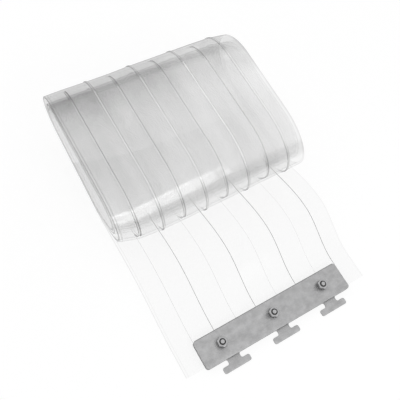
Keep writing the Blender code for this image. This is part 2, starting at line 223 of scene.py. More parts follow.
@dataclass(frozen=True)
class ClearSheet:
    """Clear, slightly glossy soft sheet. Each face lets a set share of light through."""

    name: str = "clear_pvc"
    mirror_share: float = 0.044
    low_mirror_share: float = 0.004
    grazing_share: float = 0.05
    grazing_power: float = 5.0
    clear_share: float = 0.982
    deep_share: float = 0.80
    line_share: float = 0.25
    cloud_depth: float = 0.16
    cloud_middle: float = 0.48
    cloud_haze_and_shade: float = 1.2
    # Painted shade: the sheet's grey deepens towards the roll's left and back.
    shade_depth: float = 0.105
    shade_across: Pair = (0.16, -0.15)
    shade_along: Pair = (-0.04, 0.14)
    high_range: Pair = (0.04, 0.07)
    rim_depth: float = 0.75
    rim_power: float = 6.0
    roughness: float = 0.14
    cloud_scale: Point = (34.0, 9.0, 9.0)
    ripple_scale: Point = (45.0, 18.0, 45.0)
    ripple_height: float = 0.95 * MM

    def material(self) -> Material:
        """The sheet's material, which reads the strip's marks and is deeper in the roll's layers, with
        painted shade that darkens the roll towards its left and back.
        """
        made = bpy.data.materials.new(self.name)
        canvas = Canvas(made)
        facing = canvas.level(canvas.node("LayerWeight", {"Blend": 0.5}), "Facing")
        high = canvas.rise(2, self.high_range)
        # The line mark: painted shade above 0, and below 0 a painted sheen that adds mirror share.
        marks = canvas.mark(CurtainStrip.LINE)
        lines, sheen = marks.clamped(), (marks * -1.0).clamped()
        mirror_share = self.low_mirror_share + high * (self.mirror_share - self.low_mirror_share)
        gloss = (mirror_share + self.grazing_share * facing**self.grazing_power + sheen).clamped()
        clouds = canvas.noise(self.cloud_scale, detail=3.0)
        # The haze mark holds painted shade as well as haze.
        haze_and_shade = canvas.mark(CurtainStrip.HAZE_AND_SHADE) * (1.0 + (clouds - NOISE_MIDDLE) * self.cloud_haze_and_shade)
        cloudy = haze_and_shade + (clouds - self.cloud_middle) * self.cloud_depth * high
        # Painted shade, darker towards the roll's left and back.
        shade = canvas.rise(0, self.shade_across) * canvas.rise(1, self.shade_along) * self.shade_depth
        depth = (facing**self.rim_power * self.rim_depth + shade + cloudy).clamped()
        # Painted light: cleared faces let all light through, which lightens the roll's right end.
        cleared = canvas.mark(CurtainStrip.CLEAR)
        plain = canvas.shader_mix(cleared, canvas.film(self.clear_share), canvas.film(1.0))
        body = canvas.shader_mix(depth, plain, canvas.film(self.deep_share))
        lined = canvas.shader_mix(lines, body, canvas.film(self.line_share))
        ripple = canvas.noise(self.ripple_scale, detail=1.0)
        mirror = canvas.metal(WHITE, self.roughness, ripple, self.ripple_height)
        canvas.finish_with(canvas.shader_mix(gloss, lined, mirror))
        return made


@dataclass(frozen=True)
class Steel:
    """Bare sheet or turned steel with soft patches, a fine grain, a slightly uneven sheen and painted shade
    on marked faces.
    """

    name: str
    tone: Point
    patch_depth: float
    patch_scale: Point
    grain_scale: Point
    grain_height: float
    roughness: float
    roughness_spread: float
    edge_share: float
    grain_share: float = 0.25
    patch_range: Pair = (0.36, 0.64)

    EDGE = "edge_tone"

    def material(self) -> Material:
        """The steel's material, with painted shade where the piece's edge shade mark is set."""
        made = bpy.data.materials.new(self.name)
        canvas = Canvas(made)
        patches = canvas.noise(self.patch_scale, detail=4.0, roughness=0.6)
        grain = canvas.noise(self.grain_scale, detail=3.0, roughness=0.7, shift=3.0)
        shade = (patches * (1.0 - self.grain_share) + grain * self.grain_share).clamped()
        dark, light, edge = (
            tuple(level * share for level in self.tone)
            for share in (1.0 - self.patch_depth, 1.0 + self.patch_depth, self.edge_share)
        )
        plain = canvas.mixed_colour(canvas.ramp(shade, self.patch_range, "LINEAR"), dark, light)
        # Painted shade on the marked edges, sides and grooves.
        colour = canvas.mixed_colour(canvas.mark(self.EDGE), plain, edge)
        roughness = self.roughness + (patches - NOISE_MIDDLE) * self.roughness_spread
        canvas.finish_with(canvas.metal(colour, roughness, grain, self.grain_height))
        return made


PLATE_STEEL = Steel(
    name="plate_steel",
    tone=(0.432, 0.432, 0.435),
    patch_depth=0.13,
    patch_scale=(95.0, 110.0, 95.0),
    grain_scale=(260.0, 900.0, 900.0),
    grain_height=0.02 * MM,
    roughness=0.42,
    roughness_spread=0.25,
    edge_share=0.55,
)
STUD_STEEL = Steel(
    name="stud_steel",
    tone=(0.46, 0.46, 0.465),
    patch_depth=0.12,
    patch_scale=(500.0, 500.0, 300.0),
    grain_scale=(1500.0, 1500.0, 2500.0),
    grain_height=0.015 * MM,
    roughness=0.22,
    roughness_spread=0.2,
    edge_share=0.16,
)
NUT_STEEL = Steel(
    name="nut_steel",
    tone=(0.43, 0.43, 0.435),
    patch_depth=0.10,
    patch_scale=(250.0, 250.0, 250.0),
    grain_scale=(1200.0, 1200.0, 1200.0),
    grain_height=0.015 * MM,
    roughness=0.28,
    roughness_spread=0.2,
    edge_share=0.8,
)


# Shaping by hand


class Workpiece:
    """A mesh that is shaped with edit-mode operators, on faces and edges that are picked by their place."""

    def __init__(self, obj: Object, name: str) -> None:
        """Take a new primitive, fix its place in its mesh and open it for editing.

        Args:
            obj: The primitive's object, which is active.
            name: The name of the piece.
        """
        obj.name = obj.data.name = name
        self.obj = obj
        bpy.ops.object.transform_apply(location=True, rotation=True, scale=True)
        bpy.ops.object.mode_set(mode="EDIT")

    @classmethod
    def block(cls, name: str, low: Point, high: Point) -> "Workpiece":
        """A box between two corners."""
        deselect_all()
        centre = tuple((a + b) / 2 for a, b in zip(low, high))
        extent = tuple(b - a for a, b in zip(low, high))
        bpy.ops.mesh.primitive_cube_add(size=1.0, location=centre, scale=extent)
        return cls(bpy.context.object, name)

    @classmethod
    def rod(
        cls,
        name: str,
        radii: Pair,
        heights: Pair,
        at: Pair = (0.0, 0.0),
        sides: int = ROUND_SIDES,
    ) -> "Workpiece":
        """An upright rod or cone.

        Args:
            name: The name of the piece.
            radii: The radius of its foot and of its top.
            heights: The height of its foot and of its top.
            at: The place of its axis.
            sides: How many sides it has.

        Returns:
            The rod, open for editing.
        """
        deselect_all()
        foot, top = heights
        middle = (*at, (foot + top) / 2)
        bpy.ops.mesh.primitive_cone_add(
            vertices=sides, radius1=radii[0], radius2=radii[1], depth=top - foot, location=middle
        )
        return cls(bpy.context.object, name)

    def _pick(self, kind: str, chosen: Callable[[bmesh.types.BMesh], list]) -> None:
        """Select some faces or edges, and nothing else.

        Args:
            kind: FACE or EDGE.
            chosen: Takes the mesh and gives what to select.
        """
        bpy.ops.mesh.select_mode(type=kind)
        bpy.ops.mesh.select_all(action="DESELECT")
        mesh = bmesh.from_edit_mesh(self.obj.data)
        for item in chosen(mesh):
            item.select_set(True)
        bmesh.update_edit_mesh(self.obj.data)

    def pick_faces(self, test: PlaceTest) -> None:
        """Select the faces whose centre and normal pass a test, and nothing else."""
        self._pick("FACE", lambda mesh: [f for f in mesh.faces if test(f.calc_center_median(), f.normal)])

    def pick_edges(self, test: PlaceTest) -> None:
        """Select the edges whose middle and unit direction pass a test, and nothing else."""

        def passes(edge: bmesh.types.BMEdge) -> bool:
            """Whether the test takes an edge."""
            first, second = (vert.co for vert in edge.verts)
            return test((first + second) / 2, (second - first).normalized())

        self._pick("EDGE", lambda mesh: [edge for edge in mesh.edges if passes(edge)])

    def cut(self, axis: int, place: float) -> None:
        """Bisect the whole piece at a place along one axis."""
        normal = Vector([float(index == axis) for index in range(3)])
        bpy.ops.mesh.select_all(action="SELECT")
        bpy.ops.mesh.bisect(plane_co=normal * place, plane_no=normal, use_fill=False)

    def extrude(self, by: Point) -> None:
        """Extrude the picked faces by an offset."""
        bpy.ops.mesh.extrude_region_move(TRANSFORM_OT_translate={"value": by})

    def narrow(self, shares: Point, centre: Point) -> None:
        """Draw what is picked toward a centre, by a share along each axis."""
        bpy.ops.transform.resize(value=shares, center_override=centre)

    def bevel(self, width: float, segments: int = BEVEL_SEGMENTS) -> None:
        """Round the picked edges."""
        bpy.ops.mesh.bevel(offset=width, offset_type="OFFSET", segments=segments, affect="EDGES")

    def close(self) -> Object:
        """Leave edit mode with the normals facing out."""
        bpy.ops.mesh.select_all(action="SELECT")
        bpy.ops.mesh.normals_make_consistent(inside=False)
        bpy.ops.object.mode_set(mode="OBJECT")
        return self.obj


def deselect_all() -> None:
    """Go to object mode with nothing selected."""
    if bpy.context.object and bpy.context.object.mode != "OBJECT":
        bpy.ops.object.mode_set(mode="OBJECT")
    bpy.ops.object.select_all(action="DESELECT")


def make_active(obj: Object) -> None:
    """Select one object alone and make it active."""
    deselect_all()
    obj.select_set(True)
    bpy.context.view_layer.objects.active = obj


def apply_modifier(obj: Object, kind: str, **settings: object) -> None:
    """Add a modifier, set it and apply it.

    Args:
        obj: The object to change.
        kind: Blender's name for the modifier.
        settings: The modifier's properties.
    """
    make_active(obj)
    modifier = obj.modifiers.new(kind.lower(), kind)
    for name, value in settings.items():
        setattr(modifier, name, value)
    bpy.ops.object.modifier_apply(modifier=modifier.name)


class Joining(Enum):
    """How one shape changes another."""

    CUT = "DIFFERENCE"
    KEEP_COMMON = "INTERSECT"


def combine(obj: Object, tool: Workpiece, how: Joining) -> None:
    """Change a shape with another one, which is closed and used up.

    Args:
        obj: The shape that stays.
        tool: The shape that changes it.
        how: What the tool does.
    """
    shape = tool.close()
    apply_modifier(obj, "BOOLEAN", operation=how.value, object=shape, solver="EXACT")
    bpy.data.objects.remove(shape)


def drill(obj: Object, radius: float, heights: Pair, at: Pair = (0.0, 0.0), sides: int = ROUND_SIDES) -> None:
    """Cut a round upright hole between two heights."""
    combine(obj, Workpiece.rod("drill", (radius, radius), heights, at, sides), Joining.CUT)


def shade_smooth(obj: Object, degrees: float = SMOOTH_DEGREES) -> None:
    """Shade a piece smooth where its faces meet at less than an angle."""
    make_active(obj)
    bpy.ops.object.shade_smooth_by_angle(angle=math.radians(degrees))


def soften(obj: Object, width: float, sharp_degrees: float = 40.0) -> None:
    """Break a piece's sharp edges and shade it smooth.

    Args:
        obj: The piece.
        width: Width of the broken edge.
        sharp_degrees: Edges bent more than this are broken.
    """
    apply_modifier(
        obj,
        "BEVEL",
        width=width,
        segments=BEVEL_SEGMENTS,
        limit_method="ANGLE",
        angle_limit=math.radians(sharp_degrees),
        harden_normals=False,
    )
    shade_smooth(obj)


def near_any(value: float, places: list[float]) -> bool:
    """True if a value is at one of some places."""
    return min(abs(value - place) for place in places) < EDGE_TOUCH


def read_rows(items: "bpy.types.bpy_prop_collection", name: str, columns: int, kind: type) -> np.ndarray:
    """One property of a mesh's faces, corners or points, as a row of numbers for each."""
    values = np.zeros(len(items) * columns, kind)
    items.foreach_get(name, values)
    return values.reshape(-1, columns)


def mark_faces(obj: Object, name: str, levels: Union[list[bool], np.ndarray]) -> None:
    """Set a mark on each face of a piece."""
    attribute = obj.data.attributes.new(name, "FLOAT", "FACE")
    attribute.data.foreach_set("value", np.asarray(levels, np.float32))


def mark_shaded_edges(obj: Object, test: PlaceTest) -> None:
    """Set a steel piece's painted shade mark on the faces whose centre and normal pass a test."""
    mark_faces(obj, Steel.EDGE, [test(face.center, face.normal) for face in obj.data.polygons])


def dress(obj: Object, material: Material, slot: str, body: str, *nodes: str) -> None:
    """Give a finished piece its material and its body, and hide the nodes that it stands for.

    Args:
        obj: The piece.
        material: Its material.
        slot: The record's material slot; not used.
        body: The body that it rides on, or an empty text to leave it on no body.
        nodes: The nodes that it replaces.
    """
    obj.data.materials.clear()
    obj.data.materials.append(material)
    if body:
        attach(obj, body)
    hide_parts(*nodes)
    LOG.info("%s: %d faces", obj.name, len(obj.data.polygons))


# Fastenings


class Side(Enum):
    """Which of the three fastenings, with the turn at which its nut was left, in degrees."""

    LEFT = -4.0
    MIDDLE = 3.0
    RIGHT = -7.0

    @property
    def word(self) -> str:
        """The side's name as the nodes have it."""
        return self.name.lower()

    @property
    def axis(self) -> Pair:
        """The place of this side's stud."""
        low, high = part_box(f"stud_{self.word}")
        return (low.x + high.x) / 2, (low.y + high.y) / 2


def set_out(pattern: Object, node: str, finish: Steel, turned: bool) -> None:
    """Put a copy of one fastening at each of its three places, each with its own mesh.

    Args:
        pattern: The fastening, modelled about the origin's upright axis, which is used up.
        node: The nodes' name, without the side.
        finish: The fastenings' steel.
        turned: Whether each copy is turned as its side says.
    """
    material = finish.material()
    for side in Side:
        piece = pattern.copy()
        piece.data = pattern.data.copy()
        piece.name = piece.data.name = f"{pattern.name}_{side.word}"
        turn = Matrix.Rotation(math.radians(side.value if turned else 0.0), 4, "Z")
        piece.data.transform(Matrix.Translation((*side.axis, 0.0)) @ turn)
        bpy.context.collection.objects.link(piece)
        bpy.context.view_layer.update()
        dress(piece, material, finish.name, "hanger", f"{node}_{side.word}")
    bpy.data.objects.remove(pattern)


# The strip


def plateau(values: np.ndarray, places: tuple[float, ...]) -> np.ndarray:
    """A rise from 0 to 1 between the first two places, and a fall back between the last two."""
    return np.interp(values, places, (0.0, 1.0, 1.0, 0.0))


def in_steps(shares: np.ndarray, levels: tuple[float, ...]) -> np.ndarray:
    """Levels that follow each other in even steps from share 0 to share 1."""
    return np.interp(shares, np.linspace(0.0, 1.0, len(levels)), levels)


def share_past(place: float, start: float) -> float:
    """How far a place lies between a start and 1, from 0 to 1."""
    return float(np.clip((place - start) / (1 - start), 0.0, 1.0))


@dataclass(frozen=True)
class StripPath:
    """The line that the strip lies along, seen from its edge. Y starts at the plates' hook-side edge."""

    thickness: float = 3.0 * MM
    rib_height: float = 1.2 * MM
    start_y: float = 5.0 * MM
    clamp_z: float = 4.2 * MM
    hump_foot_y: float = 45.0 * MM
    hump_height: float = 30.0 * MM
    roll_front_y: float = 187.8 * MM
    roll_length: float = 254.0 * MM
    roll_height: float = 110.4 * MM
    front_depth: float = 70.7 * MM
    back_depth: float = 54.7 * MM
    floor_gap: float = 0.8 * MM
    top_gaps: tuple[float, ...] = (5.0 * MM, 1.2 * MM, 1.2 * MM)
    back_gaps: tuple[float, ...] = (7.0 * MM, 1.2 * MM, 1.2 * MM)
    front_gaps: tuple[float, ...] = (9.0 * MM, 1.2 * MM, 1.2 * MM)
    crest_y: float = 131.25 * MM
    front_lift: float = 0.0
    back_lift: float = 0.0
    front_sag: float = 0.0
    front_tuck: float = 0.0
    steps: int = 64
    smoothing: float = 4.0 * MM
    smoothing_reach: int = 3
    sample: float = 0.5 * MM

    def _rise(self, y: np.ndarray) -> np.ndarray:
        """Height of the strip's middle at places from the clamp to the roll's front fold."""
        floor_z = self.thickness / 2 + self.rib_height
        foot_z = floor_z + self.front_lift
        fold_y = self.roll_front_y + self.front_depth
        crest_z = floor_z + self.hump_height
        up = (1 - np.cos(np.pi * (y - self.hump_foot_y) / (self.crest_y - self.hump_foot_y))) / 2
        down = (1 + np.cos(np.pi * (y - self.crest_y) / (fold_y - self.crest_y))) / 2
        before = self.clamp_z + (crest_z - self.clamp_z) * up
        z = np.where(y < self.crest_y, before, foot_z + (crest_z - foot_z) * down)
        return np.where(y < self.hump_foot_y, self.clamp_z, z)

    def _fold(
        self, centre_y: float, depth: float, first_z: float, last_z: float, tuck: float = 0.0
    ) -> np.ndarray:
        """A half ellipse between two heights.

        Args:
            centre_y: Place of its two ends.
            depth: How far it bulges along Y, negative to the front.
            first_z: Height of its first end.
            last_z: Height of its last end.
            tuck: How far its last end is pushed back, with the stretch before it in proportion.

        Returns:
            Rows of (y, z).
        """
        angles = np.linspace(0.0, np.pi, self.steps + 1)
        y = centre_y + depth * np.sin(angles) + tuck * (1 - np.cos(angles)) / 2
        z = (first_z + last_z) / 2 - (last_z - first_z) / 2 * np.cos(angles)
        return np.column_stack([y, z])

    def rough_line(self) -> np.ndarray:
        """Points along the strip's middle, unevenly spaced, as rows of (y, z)."""
        skin = self.thickness / 2 + self.rib_height
        layer = self.thickness + self.rib_height
        fold_y = self.roll_front_y + self.front_depth
        back_y = self.roll_front_y + self.roll_length - self.back_depth
        y = np.arange(self.start_y, fold_y - self.sample / 2, self.sample)
        parts = [np.column_stack([y, self._rise(y)])]
        low, top = skin, self.roll_height - skin
        back, front = self.back_depth - skin, self.front_depth - skin
        for top_gap, back_gap, front_gap in zip(self.top_gaps, self.back_gaps, self.front_gaps):
            following = low + layer + self.floor_gap
            parts.append(self._fold(back_y, back, low + self.back_lift, top))
            front_ends = (top - self.front_sag, following + self.front_lift)
            parts.append(self._fold(fold_y, -front, *front_ends, tuck=self.front_tuck))
            low = following
            top -= layer + top_gap
            back -= layer + back_gap
            front -= layer + front_gap
        parts.append(np.array([[back_y, low + self.back_lift]]))
        return np.vstack(parts)

    def line(self, guide: "StripPath", length: float, sections: int) -> tuple[np.ndarray, np.ndarray]:
        """Steps along the strip with its bends eased, and the direction of its upper face at each.

        Args:
            guide: The path whose lengths the steps are measured on, the same all across the strip.
            length: The strip's length.
            sections: How many steps the length is cut into.

        Returns:
            Two arrays of (y, z) rows: places and unit normals.
        """
        points = self.rough_line()
        run = np.concatenate([[0.0], np.cumsum(np.hypot(*np.diff(guide.rough_line(), axis=0).T))])
        margin = 2 * self.smoothing_reach * self.smoothing
        fine = np.arange(-margin, length + margin, self.sample)
        place = np.column_stack([np.interp(fine, run, points[:, axis]) for axis in (0, 1)])
        place[fine < 0, 0] = points[0, 0] + fine[fine < 0]
        reach = int(self.smoothing_reach * self.smoothing / self.sample)
        offsets = np.arange(-reach, reach + 1) * self.sample
        weights = np.exp(-0.5 * (offsets / self.smoothing) ** 2)
        weights /= weights.sum()
        eased = np.column_stack([np.convolve(place[:, axis], weights, mode="same") for axis in (0, 1)])
        direction = np.gradient(eased, axis=0)
        direction /= np.linalg.norm(direction, axis=1)[:, None]
        stations = np.linspace(0.0, length, sections + 1)
        where, along = (
            [np.interp(stations, fine, rows[:, axis]) for axis in (0, 1)] for rows in (eased, direction)
        )
        return np.column_stack(where), np.column_stack([-along[1], along[0]])


class Skin(Enum):
    """Which of the strip's two faces, named as they lie in the roll."""

    BOTH = 0
    INNER = 1
    OUTER = -1


@dataclass(frozen=True)
class HazeAndShadeBand:
    """A duller stretch of haze and painted shade: its four places along the strip, and its levels in even
    steps from left to right.
    """

    places: tuple[float, float, float, float]
    levels: tuple[float, ...]
    skin: Skin = Skin.BOTH

    def at(self, right_share: np.ndarray, along: np.ndarray, inner: np.ndarray) -> np.ndarray:
        """The haze at shares of the width from the left and places along, with inner as 1 or -1 by face."""
        chosen = inner * self.skin.value >= 0
        return in_steps(right_share, self.levels) * chosen * plateau(along, self.places)


@dataclass
class CurtainStrip:
    """The clear ribbed strip: its end clamped in the hanger, its free hump, and the flattened roll.

    Places along the strip are lengths from its clamped end. A line above 0 is painted shade, one below 0 a
    painted sheen that adds mirror share.
    """

    LINE = "rib_line"
    HAZE_AND_SHADE = "haze_and_shade"
    CLEAR = "clear"

    path: StripPath = StripPath()
    length: float = 2.0
    width: float = 300.0 * MM
    rib_count: int = 8
    rib_margin: float = 28.8 * MM
    rib_foot: float = 4.2 * MM
    rib_crest: float = 1.8 * MM
    root_share: float = 0.4
    flank_slope: float = 0.3
    pressed_height: float = 0.4 * MM
    crest_bevel: float = 0.35 * MM
    edge_bevel: float = 0.3 * MM
    first_cuts: int = 24
    second_cuts: int = 23
    clamp_length: float = 37.3 * MM
    recovery: float = 5.0 * MM
    hole_radius: float = 5.0 * MM
    hole_top: float = 9.0 * MM
    hole_sides: int = 32
    origin_y: float = -212.75 * MM
    flex_start_y: float = -162.75 * MM
    flex_end_y: float = -117.75 * MM
    flex_z: float = 14.77 * MM
    # Levels of the painted lines: painted shade along ribs, folds and edges, and painted sheen where below 0.
    strong_line: float = 1.0
    faint_line: float = 0.50
    roll_line: float = 0.52
    slope_line: float = 0.12
    fold_line: float = 0.55
    crest_line: float = 0.16
    rib_sheens: tuple[float, ...] = (0.10, 0.18, 0.10, 0.18, 0.10, 0.34, 0.10, 0.12)
    rib_weights: tuple[float, ...] = (1.55, 0.9, 1.15, 0.8, 1.0, 0.8, 1.0, 0.9)
    left_lines: tuple[float, ...] = (0.14, 0.14, 0.14, 0.14, 0.14, 0.14, 0.14, 0.40)
    edge_bands: tuple[tuple[float, ...], ...] = (
        (0.9 * MM, 0.28, 0.16),
        (2.2 * MM, 0.0, 0.0),
        (3.4 * MM, -0.02, 0.0),
        (4.4 * MM, 0.20, 0.0),
    )
    # A painted shade line on the outer face along the back fold's outline.
    outline: tuple[float, ...] = (0.494, 0.498, 0.511, 0.515)
    outline_level: float = 0.24
    tail_edge: float = 0.22
    top_edge: float = 1.0
    inner_edge: float = 0.10
    side_levels: Pair = (0.36, 0.04)
    inner_line_share: float = 0.06
    outer_turn: tuple[float, ...] = (0.22, 0.25, 0.502, 0.508, 0.805, 0.825)
    # Stretches where the ribs get painted shade at the folds.
    dark_folds: tuple[tuple[float, ...], ...] = ((0.503, 0.509, 0.546, 0.556), (0.720, 0.750, 0.800, 0.815))
    # Haze and painted shade on stretches of the roll, such as the back band and the band under the front
    # highlight; levels below 0 clear the rim darkening.
    haze_and_shade_bands: tuple[HazeAndShadeBand, ...] = (
        HazeAndShadeBand((0.410, 0.440, 0.455, 0.475), (0.55, 0.22)),
        HazeAndShadeBand((0.440, 0.464, 0.546, 0.558), (1.75, 1.48, 1.22, 0.95, 0.74, 0.80), Skin.OUTER),
        HazeAndShadeBand((0.518, 0.532, 0.553, 0.600), (0.0, 0.0, 0.0, 0.0, 0.06, 0.84)),
        HazeAndShadeBand((0.480, 0.488, 0.522, 0.532), (-0.80, -0.80), Skin.INNER),
        HazeAndShadeBand((0.550, 0.570, 0.750, 0.790), (0.05, 0.09, 0.13, 0.19, 0.31, 0.17)),
        HazeAndShadeBand((0.734, 0.742, 0.754, 0.764), (0.20, 0.38)),
        HazeAndShadeBand((1.075, 1.105, 1.125, 1.190), (0.80, 0.0)),
        HazeAndShadeBand((1.335, 1.345, 1.361, 1.371), (-0.20, -0.10)),
    )
    # Painted light: the roll's lower runs lose the sheet's grey towards the right end, so that end looks
    # lighter.
    clear_runs: tuple[tuple[float, ...], ...] = (
        (0.22, 0.25, 0.42, 0.45),
        (0.84, 0.87, 1.03, 1.07),
        (1.36, 1.39, 1.56, 1.59),
        (1.88, 1.91, 2.00, 2.10),
    )
    clear_levels: tuple[float, ...] = (0.0, 0.0, 0.08, 0.25, 0.50, 1.0)
    left_start: float = -0.1
    left_hump: Pair = (20.0 * MM, 162.0 * MM)
    left_lifts: Pair = (13.0 * MM, 38.0 * MM)
    right_start: float = 0.4
    right_sag: float = 4.5 * MM
    right_shortening: float = 4.0 * MM
    corner_start: float = 0.6
    corner_tuck: float = 18.0 * MM
    corner_power: int = 3
    back_twist: float = 15.0 * MM
    back_bow: tuple[tuple[float, ...], tuple[float, ...]] = (
        (-1.0, -0.7, -0.36, -0.1, 0.7, 0.85, 1.0),
        (-2.0 * MM, 0.0, 2.4 * MM, 4.2 * MM, 4.4 * MM, 3.2 * MM, -1.0 * MM),
    )

    def rib_places(self) -> list[float]:
        """Each rib's place across the strip, from left to right."""
        pitch = (self.width - 2 * self.rib_margin) / (self.rib_count - 1)
        return [-self.width / 2 + self.rib_margin + index * pitch for index in range(self.rib_count)]

    def flat_blank(self) -> Object:
        """The strip laid out flat along Y, with its ribs raised: odd ones on top, even ones below."""
        half, edge = self.path.thickness / 2, self.width / 2
        piece = Workpiece.block("ribbed_strip", (-edge, 0.0, -half), (edge, self.length, half))
        for place in self.rib_places():
            for side in (-1, 1):
                piece.cut(0, place + side * self.rib_foot / 2)
        for inset, _, _ in self.edge_bands:
            for side in (-1, 1):
                piece.cut(0, side * (edge - inset))
        root_width = self.rib_foot + (self.rib_crest - self.rib_foot) * self.root_share
        steps = (
            (self.root_share * self.path.rib_height, root_width / self.rib_foot),
            ((1 - self.root_share) * self.path.rib_height, self.rib_crest / root_width),
        )
        for index, place in enumerate(self.rib_places()):
            face = 1 if index % 2 == 0 else -1
            piece.pick_faces(lambda c, n: n.z * face > FACING and abs(c.x - place) < EDGE_TOUCH)
            level = half
            for rise, share in steps:
                level += rise
                piece.extrude((0.0, 0.0, face * rise))
                piece.narrow((share, 1.0, 1.0), (place, 0.0, face * level))
        high = half + self.path.rib_height - EDGE_TOUCH
        piece.pick_edges(lambda m, d: abs(d.y) > PARALLEL and abs(m.z) > high)
        piece.bevel(self.crest_bevel)
        piece.pick_edges(lambda m, d: abs(d.y) > PARALLEL and abs(m.x) > edge - EDGE_TOUCH)
        piece.bevel(self.edge_bevel)
        for cuts in (self.first_cuts, self.second_cuts):
            piece.pick_edges(lambda m, d: abs(d.y) > PARALLEL)
            bpy.ops.mesh.subdivide(number_cuts=cuts)
        return piece.close()

    def mark(self, obj: Object) -> None:
        """Set each face's marks: its painted line, its haze with painted shade, and how clear, which is
        painted light on the right end.

        Args:
            obj: The flat strip.
        """
        centres = read_rows(obj.data.polygons, "center", 3, np.float32)
        normals = read_rows(obj.data.polygons, "normal", 3, np.float32)
        across, along, inner = centres[:, 0], centres[:, 1], np.sign(centres[:, 2])
        lines = self._rib_lines(centres, normals)
        self._draw_edges(lines, across, along)
        outlined = np.maximum(lines, self.outline_level * plateau(along, self.outline))
        right_share = np.clip(across / self.width + 0.5, 0.0, 1.0)
        low_run = sum(plateau(along, places) for places in self.clear_runs)
        mark_faces(obj, self.LINE, np.where((inner < 0) & (lines >= 0.0), outlined, lines))
        mark_faces(obj, self.HAZE_AND_SHADE, sum(band.at(right_share, along, inner) for band in self.haze_and_shade_bands))
        mark_faces(obj, self.CLEAR, low_run * in_steps(right_share, self.clear_levels))

    def _rib_lines(self, centres: np.ndarray, normals: np.ndarray) -> np.ndarray:
        """The painted lines that the ribs' flanks and crests draw: painted shade, with painted sheen on the
        crests along the roll.

        Args:
            centres: The faces' centres on the flat strip.
            normals: The faces' normals.

        Returns:
            Each face's line level.
        """
        across, along = centres[:, 0], centres[:, 1]
        in_roll = along > self.outer_turn[2]
        rise = (abs(centres[:, 2]) - self.path.thickness / 2) / self.path.rib_height
        folded = sum(plateau(along, places) for places in self.dark_folds)
        open_share = 1.0 - folded
        lines = np.zeros(len(centres), np.float32)
        for index, place in enumerate(self.rib_places()):
            raised = (abs(across - place) < self.rib_foot / 2) & (rise > 0.0)
            right, left = (raised & (normals[:, 0] * side > self.flank_slope) for side in (1, -1))
            root, flank = raised & (rise < self.root_share), left | right
            crest = raised & ~flank
            lines[crest] = self.crest_line * folded[crest]
            lines[crest & in_roll] -= self.rib_sheens[index] * open_share[crest & in_roll]
            lines[flank] = self.fold_line * folded[flank]
            lines[right & in_roll] += self.slope_line * open_share[right & in_roll]
            lines[left & root & in_roll] += self.left_lines[index] * open_share[left & root & in_roll]
            lines[right & root & in_roll] = self.roll_line
            lines[flank & in_roll] *= self.rib_weights[index]
            lines[right & root & ~in_roll] = self.strong_line if index % 2 else self.faint_line
        low = self.inner_line_share
        lines *= np.interp(along, self.outer_turn, (1.0, low, low, 1.0, 1.0, low))
        return lines

    def _draw_edges(self, lines: np.ndarray, across: np.ndarray, along: np.ndarray) -> None:
        """Draw the strip's two cut edges: a band of painted shade, one of painted sheen and one of painted
        shade, faint on the free stretch.

        Args:
            lines: The line levels, which are changed.
            across: Places across the strip.
            along: Places along the strip.
        """
        inset = self.width / 2 - abs(across)
        tail_end, under_end, top_end = self.outer_turn[1], self.outer_turn[2], self.outer_turn[4]
        share = np.where(along < tail_end, self.tail_edge, self.inner_edge)
        share = np.where((along > under_end) & (along < top_end), self.top_edge, share)
        first = -EDGE_TOUCH
        for last, left_level, right_level in self.edge_bands:
            band = (inset > first) & (inset < last)
            lines[band] = share[band] * np.where(across[band] < 0.0, left_level, right_level)
            first = last
        side = (inset < EDGE_TOUCH) & (along > tail_end)
        lines[side] = np.where(across[side] < 0.0, *self.side_levels)

    def map_surface(self, obj: Object) -> None:
        """Give the strip a map whose axes run across and along it, in shares of its length."""
        mesh = obj.data
        coords = read_rows(mesh.vertices, "co", 3, np.float32)
        corners = read_rows(mesh.loops, "vertex_index", 1, np.int32).ravel()
        layer = mesh.uv_layers.active or mesh.uv_layers.new(name="along_strip")
        layer.name = "along_strip"
        layer.data.foreach_set("uv", coords[corners][:, :2].ravel() / self.length)

    def path_at(self, share: float) -> StripPath:
        """The path at a place across the strip.

        Args:
            share: -1 at the left edge, 1 at the right edge.

        Returns:
            The path there.
        """
        plain = self.path
        left = share_past(-share, self.left_start)
        left = left * left * (3 - 2 * left)
        height, crest = self.left_hump
        front_lift, back_lift = self.left_lifts
        bow = float(np.interp(share, *self.back_bow))
        return replace(
            plain,
            front_tuck=self.corner_tuck * share_past(-share, self.corner_start) ** self.corner_power,
            front_lift=left * left * front_lift,
            back_lift=left * left * back_lift,
            front_sag=share_past(share, self.right_start) ** 2 * self.right_sag,
            hump_height=plain.hump_height + left * (height - plain.hump_height),
            crest_y=plain.crest_y + left * (crest - plain.crest_y),
            back_depth=plain.back_depth + self.back_twist * share,
            roll_length=plain.roll_length - self.right_shortening * (share + 1) / 2 + bow,
        )

